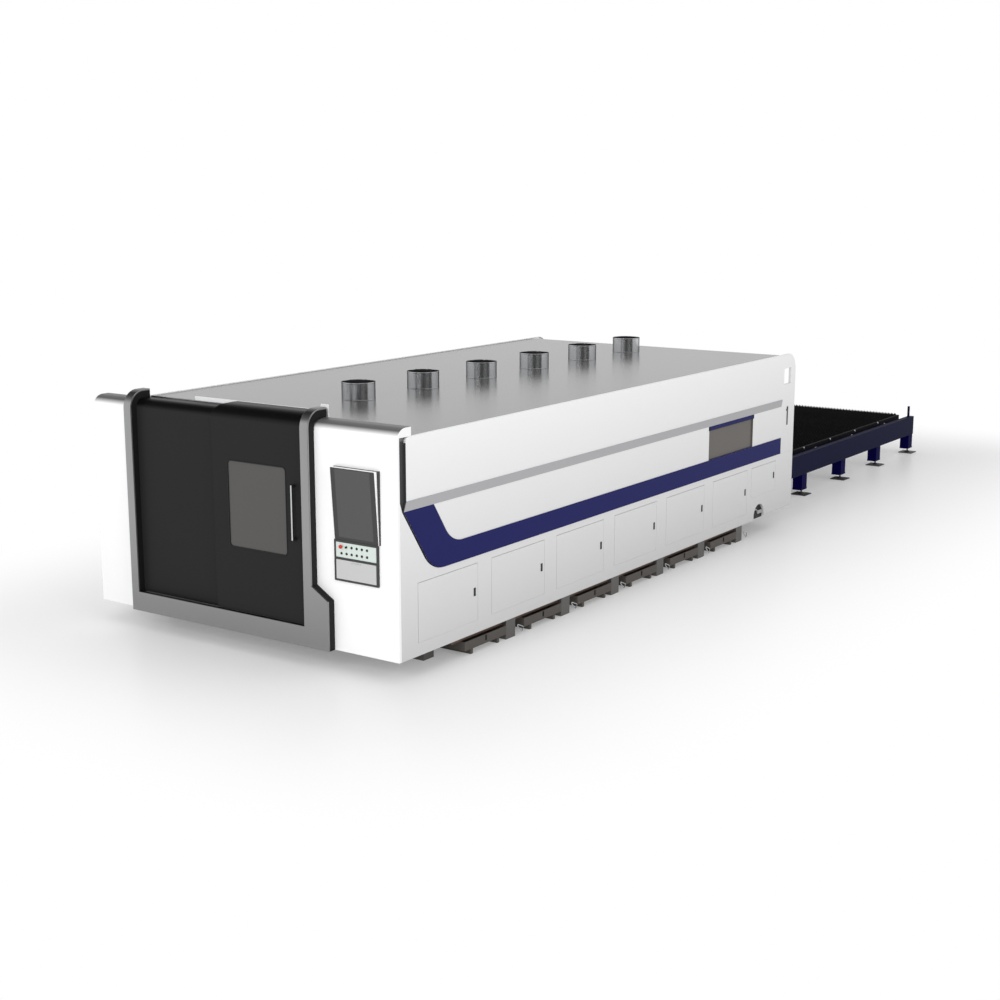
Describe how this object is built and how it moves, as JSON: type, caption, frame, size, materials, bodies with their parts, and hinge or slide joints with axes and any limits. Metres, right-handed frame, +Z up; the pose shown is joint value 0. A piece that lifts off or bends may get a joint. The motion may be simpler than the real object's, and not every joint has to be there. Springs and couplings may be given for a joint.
{
  "type": "fiber laser cutting machine",
  "caption": "Enclosed sheet laser cutter: long white cabin with sliding front door, side console, roof exhaust collars and a low exchange table with toothed slats behind.",
  "frame": {"origin": "on the floor, midway along the machine's whole length and width", "axes": "+X to the right seen from the operator's end, +Y from the operator's end to the loading end, +Z up"},
  "size_m": [4.312, 16.17, 2.7],
  "materials": {
    "panel_white": "satin",
    "cladding_white": "satin",
    "roof_grey": "satin",
    "portal_silver": "satin",
    "portal_black": "satin",
    "door_black": "gloss",
    "door_glass": "gloss",
    "bright_steel": "brushed",
    "console_grey": "satin",
    "monitor_white": "satin",
    "screen_dark": "gloss",
    "keypad_white": "satin",
    "stop_red": "gloss",
    "knob_black": "matte",
    "flap_grey": "satin",
    "stripe_grey": "satin",
    "band_navy": "satin",
    "window_glass": "gloss",
    "trim_black": "satin",
    "skirt_white": "satin",
    "bed_grey": "satin",
    "drawer_grey": "satin",
    "rail_steel": "ground",
    "gantry_white": "satin",
    "head_dark": "satin",
    "table_navy": "satin",
    "leg_blue": "satin",
    "slat_steel": "dark mill finish",
    "pallet_steel": "satin",
    "foot_grey": "satin"
  },
  "bodies": {
    "machine": {"bed_right_beam": "bed_grey", "bed_left_beam": "bed_grey", "bed_cross_tubes": "bed_grey", "bed_plinths": "bed_grey", "bed_guide_rails": "rail_steel", "bed_gear_racks": "rail_steel", "pallet_tracks": "rail_steel", "right_side_panel": "skirt_white", "left_side_panel": "skirt_white", "right_cladding": "cladding_white", "left_cladding": "cladding_white", "side_stripes": "stripe_grey", "side_bands": "band_navy", "side_window": "window_glass", "side_window_hood": "band_navy", "fin_latch": "trim_black", "front_left_panel": "panel_white", "front_right_panel": "panel_white", "portal_face": "portal_silver", "portal_core": "portal_black", "front_fixed_leaf": "door_black", "door_rails": "bright_steel", "roof_panel": "roof_grey", "exhaust_collars": "bright_steel", "rear_wall": "skirt_white", "console_bezel": "console_grey", "console_monitor": "monitor_white", "console_screen": "screen_dark", "console_keypad": "keypad_white", "table_beams": "table_navy", "table_legs": "leg_blue", "table_feet": "foot_grey", "table_end_post": "table_navy"},
    "front_door": {"front_door": "door_black", "front_door_window": "door_glass", "front_door_handle": "bright_steel"},
    "gantry": {"gantry_beam": "gantry_white", "gantry_cross_rails": "rail_steel"},
    "saddle": {"head_saddle": "head_dark"},
    "head": {"cutting_head": "head_dark"},
    "upper_pallet": {"upper_pallet_frame": "pallet_steel", "upper_pallet_slats": "slat_steel"},
    "lower_pallet": {"lower_pallet_frame": "pallet_steel", "lower_pallet_slats": "slat_steel"},
    "keyboard_flap": {"keyboard_flap": "flap_grey"},
    "emergency_stop": {"emergency_stop": "stop_red"},
    "key_switch": {"key_switch": "knob_black"},
    "slag_drawer_1": {"slag_drawer_1": "drawer_grey"},
    "slag_drawer_2": {"slag_drawer_2": "drawer_grey"},
    "slag_drawer_3": {"slag_drawer_3": "drawer_grey"},
    "slag_drawer_4": {"slag_drawer_4": "drawer_grey"},
    "slag_drawer_5": {"slag_drawer_5": "drawer_grey"},
    "slag_drawer_6": {"slag_drawer_6": "drawer_grey"},
    "service_door_1": {"service_door_1": "skirt_white"},
    "service_door_2": {"service_door_2": "skirt_white"},
    "service_door_3": {"service_door_3": "skirt_white"},
    "service_door_4": {"service_door_4": "skirt_white"},
    "service_door_5": {"service_door_5": "skirt_white"},
    "service_door_6": {"service_door_6": "skirt_white"},
    "service_door_7": {"service_door_7": "skirt_white"}
  },
  "joints": [
    {"name": "front_door_slide", "type": "slide", "parent": "machine", "child": "front_door", "axis": [-1, 0, 0], "range_m": [0, 1.165]},
    {"name": "service_door_1_hinge", "type": "hinge", "parent": "machine", "child": "service_door_1", "pos_m": [2.15, -7.651, 0.6], "axis": [0, 0, -1], "range_deg": [0, 110]},
    {"name": "service_door_2_hinge", "type": "hinge", "parent": "machine", "child": "service_door_2", "pos_m": [2.15, -6.36, 0.6], "axis": [0, 0, -1], "range_deg": [0, 110]},
    {"name": "service_door_3_hinge", "type": "hinge", "parent": "machine", "child": "service_door_3", "pos_m": [2.15, -5.069, 0.6], "axis": [0, 0, -1], "range_deg": [0, 110]},
    {"name": "service_door_4_hinge", "type": "hinge", "parent": "machine", "child": "service_door_4", "pos_m": [2.15, -3.778, 0.6], "axis": [0, 0, -1], "range_deg": [0, 110]},
    {"name": "service_door_5_hinge", "type": "hinge", "parent": "machine", "child": "service_door_5", "pos_m": [2.15, -2.487, 0.6], "axis": [0, 0, -1], "range_deg": [0, 110]},
    {"name": "service_door_6_hinge", "type": "hinge", "parent": "machine", "child": "service_door_6", "pos_m": [2.15, -1.196, 0.6], "axis": [0, 0, -1], "range_deg": [0, 110]},
    {"name": "service_door_7_hinge", "type": "hinge", "parent": "machine", "child": "service_door_7", "pos_m": [2.15, -0.029, 0.6], "axis": [0, 0, -1], "range_deg": [0, 110]},
    {"name": "slag_drawer_1_slide", "type": "slide", "parent": "machine", "child": "slag_drawer_1", "axis": [1, 0, 0], "range_m": [0, 2.9]},
    {"name": "slag_drawer_2_slide", "type": "slide", "parent": "machine", "child": "slag_drawer_2", "axis": [1, 0, 0], "range_m": [0, 2.9]},
    {"name": "slag_drawer_3_slide", "type": "slide", "parent": "machine", "child": "slag_drawer_3", "axis": [1, 0, 0], "range_m": [0, 2.9]},
    {"name": "slag_drawer_4_slide", "type": "slide", "parent": "machine", "child": "slag_drawer_4", "axis": [1, 0, 0], "range_m": [0, 2.9]},
    {"name": "slag_drawer_5_slide", "type": "slide", "parent": "machine", "child": "slag_drawer_5", "axis": [1, 0, 0], "range_m": [0, 2.9]},
    {"name": "slag_drawer_6_slide", "type": "slide", "parent": "machine", "child": "slag_drawer_6", "axis": [1, 0, 0], "range_m": [0, 2.9]},
    {"name": "gantry_slide", "type": "slide", "parent": "machine", "child": "gantry", "axis": [0, 1, 0], "range_m": [0, 6.2]},
    {"name": "saddle_slide", "type": "slide", "parent": "gantry", "child": "saddle", "axis": [1, 0, 0], "range_m": [-1.27, 1.27]},
    {"name": "head_lift", "type": "slide", "parent": "saddle", "child": "head", "axis": [0, 0, 1], "range_m": [-0.09, 0.2]},
    {"name": "upper_pallet_slide", "type": "slide", "parent": "machine", "child": "upper_pallet", "axis": [0, -1, 0], "range_m": [0, 8.09]},
    {"name": "lower_pallet_slide", "type": "slide", "parent": "machine", "child": "lower_pallet", "axis": [0, 1, 0], "range_m": [0, 8.09]},
    {"name": "keyboard_flap_hinge", "type": "hinge", "parent": "machine", "child": "keyboard_flap", "pos_m": [1.6325, -7.99, 0.9903], "axis": [1, 0, 0], "range_deg": [0, 90]},
    {"name": "emergency_stop_press", "type": "slide", "parent": "machine", "child": "emergency_stop", "axis": [0, 1, 0], "range_m": [0, 0.006]},
    {"name": "key_switch_turn", "type": "hinge", "parent": "machine", "child": "key_switch", "pos_m": [1.51, -7.995, 1.327], "axis": [0, 1, 0], "range_deg": [0, 90]}
  ],
  "couplings": [
    {"joint": "lower_pallet_slide", "follows": "upper_pallet_slide", "ratio": 1}
  ]
}
